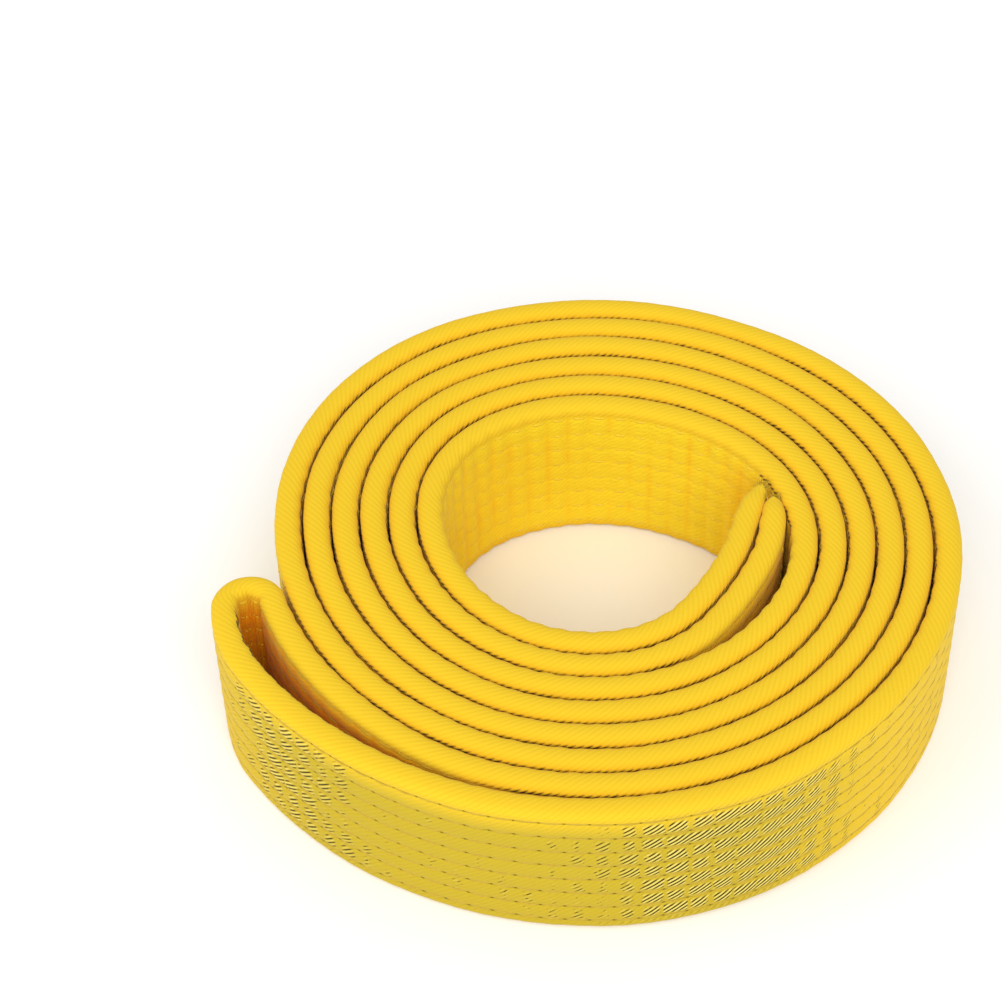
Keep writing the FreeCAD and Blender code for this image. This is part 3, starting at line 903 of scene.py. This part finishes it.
def twill_material():
    shade = Shading("cotton_twill")
    cloth = shade.add("ShaderNodeUVMap", {}, uv_map="cloth").outputs[0]
    along_cloth, round_cloth, _ = shade.add("ShaderNodeSeparateXYZ", {0: cloth}).outputs
    relief = shade.add("ShaderNodeAttribute", {}, attribute_name="relief")
    crease = relief.outputs["Alpha"]
    crest, furrow_shaded, face = shade.add("ShaderNodeSeparateColor", {0: relief.outputs["Color"]}).outputs
    outside_shade = shade.mark("outside_shade")
    stretched_face = shade.product(shade.ramp(furrow_shaded, 0.0, 0.10), face)
    squeezed = shade.maths("SUBTRACT", face, stretched_face)
    wale = twill_wales(shade, cloth, along_cloth, round_cloth)
    height, raised = twill_height(shade, cloth, wale, face, squeezed)
    shade.bump(raised, WEAVE_BUMP, WEAVE_BUMP_HEIGHT)

    # yellow, painted deeper in the furrows as shade, with slow variation along the cloth
    colour = shade.mix(shade.ramp(height, 0.05, 0.55), SHADED_FURROW_YELLOW, WALE_YELLOW)
    patches = shade.product(shade.noise(cloth, PATCH_SCALE, 4.0), PATCH_AMOUNT)
    colour = shade.tint(patches, colour, PATCH_TINT)
    # painted light: brighter on the face towards the open centre
    colour = shade.tint(shade.mark("centre_face_light"), colour, CENTRE_LIGHT_TINT)

    # painted shade: the squeezed face puckers across at every stitch, and the puckers are painted orange
    # at the needle holes
    stitch_phase = shade.product(along_cloth, math.pi / STITCH)
    between_holes = shade.maths("ABSOLUTE", shade.maths("SINE", stitch_phase))
    uneven = shade.ramp(shade.noise(cloth, PUCKER_SCALE), 0.40, 0.75)
    pucker_shade = shade.product(shade.ramp(between_holes, 0.75, 0.0), squeezed, uneven)
    colour = shade.tint(pucker_shade, colour, PUCKER_SHADE_TINT)

    # painted shade: where little light comes in, the colour deepens to orange; the stretched outside is
    # painted darker and greyer
    colour = shade.tint(shade.mark("shelter"), colour, SHELTER_TINT)
    colour = shade.tint(outside_shade, colour, OUTSIDE_SHADE_TINT)

    # painted shade: the furrows of the stretched outside are painted dark, each field by its own amount
    amount = shade.plus_times(furrow_shaded, between_holes, FURROW_SHADE_BETWEEN_HOLES)
    amount = shade.plus_times(amount, field_value(shade, along_cloth, round_cloth), FURROW_SHADE_BY_FIELD)
    for scale, detail, strength in FURROW_SHADE_NOISES:
        amount = shade.plus_times(amount, shade.noise(cloth, scale, detail), strength)
    amount = shade.ramp(amount, FURROW_SHADE_STARTS, FURROW_SHADE_WHOLE)
    amount = shade.product(amount, shade.ramp(crest, 0.50, 0.80), stretched_face)
    # painted highlight: where the furrow shade is strongest, the wales between the dark furrows catch
    # the light
    strongly_shaded = shade.ramp(furrow_shaded, 0.40, 0.85, 0.25, 1.0)
    glint = shade.product(shade.ramp(wale, 0.60, 0.92, 0.0, 0.75), amount, strongly_shaded)
    colour = shade.mix(glint, colour, GLINT_YELLOW)
    narrower = shade.ramp(strongly_shaded, 0.25, 1.0, 0.16, 0.0)
    dash = shade.product(shade.ramp(shade.maths("ADD", wale, narrower), 0.42, 0.24), amount)
    colour = shade.mix(dash, colour, FURROW_SHADE_COLOUR)

    # painted shade: the stitch rows sink in thin dark lines, with a darker dimple at every needle hole
    valley = shade.product(
        shade.ramp(crest, 0.34, 0.06),
        shade.maths("MULTIPLY_ADD", stretched_face, VALLEY_STRETCHED, VALLEY_SQUEEZED),
        shade.ramp(outside_shade, 0.0, 0.30, VALLEY_UNSHADED, 1.0),
    )
    colour = shade.mix(valley, colour, ROW_VALLEY_SHADE)
    hole = shade.product(shade.ramp(between_holes, 0.22, 0.08), valley)
    colour = shade.mix(hole, colour, NEEDLE_HOLE_SHADE)

    # painted shade in the deep creases between the turns: dark where the furrows cross them, bridged by
    # the wales
    deep = shade.plus_times(crease, wale, CREASE_WALES)
    deep = shade.plus_times(deep, shade.noise(cloth, CREASE_SCALE), CREASE_NOISE)
    deep = shade.product(shade.ramp(deep, -0.10, 0.35), shade.ramp(crease, 0.02, 0.25))
    colour = shade.mix(deep, colour, CREASE_SHADE)
    shade.surface(
        Base_Color=colour, Roughness=0.85, Specular_IOR_Level=0.15,
        Sheen_Weight=0.20, Sheen_Roughness=0.40, Sheen_Tint=SHEEN_TINT,
    )
    return shade.material


THREAD_DARK, THREAD_LIGHT = (0.74, 0.49, 0.016, 1), (0.84, 0.60, 0.026, 1)
THREAD_OUTSIDE_SHADE = (0.66, 0.64, 0.75, 1)
FELT_DARK, FELT_LIGHT = (0.55, 0.53, 0.47, 1), (0.78, 0.76, 0.69, 1)
FLOOR_WHITE = (0.97, 0.97, 0.97, 1)


def fibre_colour(shade, scale, detail, distortion, dark, light):
    """The colour of thread or felt, mottled between two shades, and the grain that mottles it."""
    position = shade.add("ShaderNodeNewGeometry", {}).outputs["Position"]
    grain = shade.noise(position, scale, detail, distortion)
    ramp = shade.add("ShaderNodeValToRGB", {0: grain})
    for element, place, colour in zip(ramp.color_ramp.elements, (0.3, 0.7), (dark, light)):
        element.position = place
        element.color = colour
    return ramp.outputs[0], grain


def thread_material():
    shade = Shading("polyester_thread")
    colour, grain = fibre_colour(shade, 1800.0, 2.0, 0.0, THREAD_DARK, THREAD_LIGHT)
    # painted shade: darker and greyer on the outside of the roll, as the cloth there
    colour = shade.tint(shade.mark("outside"), colour, THREAD_OUTSIDE_SHADE)
    shade.bump(grain, 0.5, 0.1 * MM)
    shade.surface(Base_Color=colour, Roughness=0.6)
    return shade.material


def felt_material():
    shade = Shading("core_felt")
    colour, fibres = fibre_colour(shade, 900.0, 4.0, 1.5, FELT_DARK, FELT_LIGHT)
    shade.bump(fibres, 0.6, 0.3 * MM)
    shade.surface(Base_Color=colour, Roughness=0.95)
    return shade.material


def floor_material():
    shade = Shading("pale_floor")
    shade.surface(Base_Color=FLOOR_WHITE, Roughness=0.9)
    return shade.material


cover.data.materials.append(twill_material())
thread = thread_material()
for piece in stitches + frays:
    piece.data.materials.append(thread)
felt = felt_material()
for name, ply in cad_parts.items():
    if name.startswith("core_ply"):
        ply.data.materials.clear()
        ply.data.materials.append(felt)
floor.data.materials.append(floor_material())
